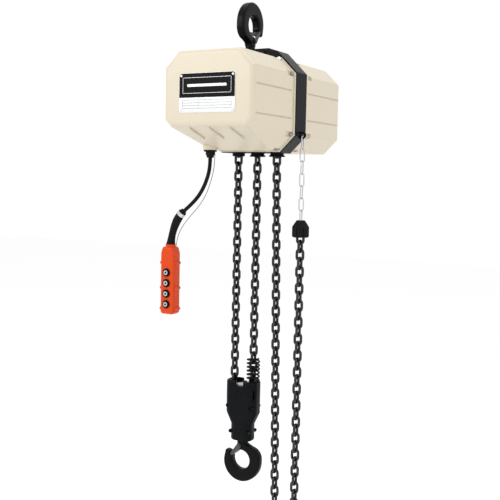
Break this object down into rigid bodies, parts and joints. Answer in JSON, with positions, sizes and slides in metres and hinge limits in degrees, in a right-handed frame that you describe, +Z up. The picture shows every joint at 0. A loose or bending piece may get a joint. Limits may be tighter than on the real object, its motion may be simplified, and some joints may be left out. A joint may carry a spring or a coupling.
{
  "type": "electric chain hoist",
  "caption": "Electric chain hoist hung from a swivel hook, with a chain-wheel block and load hook on its load chain, a stopped slack side and a push-button pendant.",
  "frame": {"origin": "the seat of the top hook, where the bar or trolley pin it hangs from bears", "axes": "+Z up along the top hook's swivel axis, +Y along the motor away from the name plate, +X towards the slack side of the chain"},
  "size_m": [0.3637, 0.487, 1.3246],
  "materials": {
    "cream_paint": "semi-gloss baked paint on die castings",
    "black_paint": "satin black paint on iron castings",
    "black_steel": "blackened and oiled hardened steel",
    "zinc_steel": "bright zinc plate",
    "machined_steel": "machined and ground steel",
    "aluminium": "plain die casting",
    "plate": "printed plate, black over silver",
    "black_rubber": "matt",
    "black_plastic": "moulded",
    "orange_plastic": "moulded, slightly textured"
  },
  "bodies": {
    "hoist": {"centre_frame": "black_paint", "front_cover": "cream_paint", "rear_cover": "cream_paint", "cover_screws": "zinc_steel", "name_plate": "plate", "plate_rivets": "zinc_steel", "suspension_yoke": "black_paint", "yoke_bolts": "black_steel", "dead_end_pin": "machined_steel", "sheave_bearings": "machined_steel", "gear_case": "aluminium", "motor_stator": "aluminium", "brake_coil": "black_plastic", "control_panel": "zinc_steel", "contactors": "black_plastic", "transformer": "black_plastic", "limit_switch": "black_plastic", "load_chain_dead_fall": "black_steel", "load_chain_live_fall": "black_steel", "load_chain_slack_side": "black_steel", "end_stopper": "black_rubber", "tie_chain": "zinc_steel", "cable_gland": "black_plastic", "control_cable": "black_rubber", "strain_wire": "zinc_steel", "pendant_boot": "black_rubber", "boot_clamp": "zinc_steel", "pendant_front": "orange_plastic", "pendant_back": "orange_plastic", "button_bezels": "zinc_steel"},
    "top_hook": {"top_hook": "black_steel", "top_thrust_bearing": "machined_steel", "top_hook_nut": "zinc_steel", "top_latch_pin": "zinc_steel"},
    "top_latch": {"top_latch": "zinc_steel"},
    "live_guide": {"live_chain_guide": "black_steel"},
    "slack_guide": {"slack_chain_guide": "black_steel"},
    "load_wheel": {"load_sheave": "machined_steel", "load_gear": "machined_steel"},
    "intermediate": {"intermediate_gear": "machined_steel"},
    "motor": {"motor_rotor": "machined_steel", "brake_disc": "black_plastic", "cooling_fan": "black_plastic"},
    "brake_armature": {"brake_armature": "machined_steel"},
    "bottom_block": {"block_front_shell": "black_paint", "block_rear_shell": "black_paint", "block_bolts": "black_steel", "idle_axle": "machined_steel", "buffer_spring": "black_steel", "load_chain_in_block": "black_steel"},
    "idle_sheave": {"idle_sheave": "machined_steel"},
    "load_hook": {"load_hook": "black_steel", "load_thrust_bearing": "machined_steel", "load_hook_nut": "zinc_steel", "load_latch_pin": "zinc_steel"},
    "load_latch": {"load_latch": "zinc_steel"},
    "up_button": {"up_button": "black_plastic"},
    "down_button": {"down_button": "black_plastic"},
    "left_button": {"left_button": "black_plastic"},
    "right_button": {"right_button": "black_plastic"}
  },
  "joints": [
    {"name": "top_hook_swivel", "type": "hinge", "parent": "hoist", "child": "top_hook", "pos_m": [0, 0, -0.0001], "axis": [0, 0, 1], "continuous": true},
    {"name": "top_latch_hinge", "type": "hinge", "parent": "top_hook", "child": "top_latch", "pos_m": [0, 0.004, -0.062], "axis": [1, 0, 0], "range_deg": [0, 50], "stiffness_Nm_per_rad": 0.03, "springref_deg": -28.65},
    {"name": "block_lift", "type": "slide", "parent": "hoist", "child": "bottom_block", "axis": [0, 0, 1], "range_m": [0, 0.5], "deforming": ["load_chain_dead_fall", "load_chain_live_fall"]},
    {"name": "load_hook_swivel", "type": "hinge", "parent": "bottom_block", "child": "load_hook", "pos_m": [0, 0, -1.07919], "axis": [0, 0, 1], "continuous": true},
    {"name": "load_latch_hinge", "type": "hinge", "parent": "load_hook", "child": "load_latch", "pos_m": [-0.004, 0, -1.09419], "axis": [0, -1, 0], "range_deg": [0, 50], "stiffness_Nm_per_rad": 0.03, "springref_deg": -28.65},
    {"name": "idle_sheave_spin", "type": "hinge", "parent": "bottom_block", "child": "idle_sheave", "pos_m": [0, 0, -0.95569], "axis": [0, -1, 0], "range_deg": [0, 1072.43], "deforming": ["load_chain_in_block"]},
    {"name": "load_wheel_spin", "type": "hinge", "parent": "hoist", "child": "load_wheel", "pos_m": [0.05488, 0, -0.2635], "axis": [0, 1, 0], "range_deg": [0, 2143.86]},
    {"name": "intermediate_spin", "type": "hinge", "parent": "hoist", "child": "intermediate", "pos_m": [0.06225, 0, -0.20093], "axis": [0, 1, 0], "range_deg": [-10715.29, 0]},
    {"name": "motor_spin", "type": "hinge", "parent": "hoist", "child": "motor", "pos_m": [0.014, 0, -0.212], "axis": [0, 1, 0], "range_deg": [0, 48215.29]},
    {"name": "brake_release", "type": "slide", "parent": "hoist", "child": "brake_armature", "axis": [0, -1, 0], "range_m": [0, 0.0006], "stiffness_N_per_m": 100000, "springref_m": -0.001},
    {"name": "live_guide_lift", "type": "slide", "parent": "hoist", "child": "live_guide", "axis": [0, 0, 1], "range_m": [0, 0.004], "stiffness_N_per_m": 2000, "springref_m": -0.001},
    {"name": "slack_guide_lift", "type": "slide", "parent": "hoist", "child": "slack_guide", "axis": [0, 0, 1], "range_m": [0, 0.004], "stiffness_N_per_m": 2000, "springref_m": -0.001},
    {"name": "up_press", "type": "slide", "parent": "hoist", "child": "up_button", "axis": [0, 1, 0], "range_m": [0, 0.003], "stiffness_N_per_m": 400},
    {"name": "down_press", "type": "slide", "parent": "hoist", "child": "down_button", "axis": [0, 1, 0], "range_m": [0, 0.003], "stiffness_N_per_m": 400},
    {"name": "left_press", "type": "slide", "parent": "hoist", "child": "left_button", "axis": [0, 1, 0], "range_m": [0, 0.003], "stiffness_N_per_m": 400},
    {"name": "right_press", "type": "slide", "parent": "hoist", "child": "right_button", "axis": [0, 1, 0], "range_m": [0, 0.003], "stiffness_N_per_m": 400}
  ],
  "couplings": [
    {"joint": "idle_sheave_spin", "follows": "block_lift", "rad_per_m": 37.4},
    {"joint": "load_wheel_spin", "follows": "block_lift", "rad_per_m": 74.8},
    {"joint": "intermediate_spin", "follows": "block_lift", "rad_per_m": -374},
    {"joint": "motor_spin", "follows": "block_lift", "rad_per_m": 1683}
  ]
}
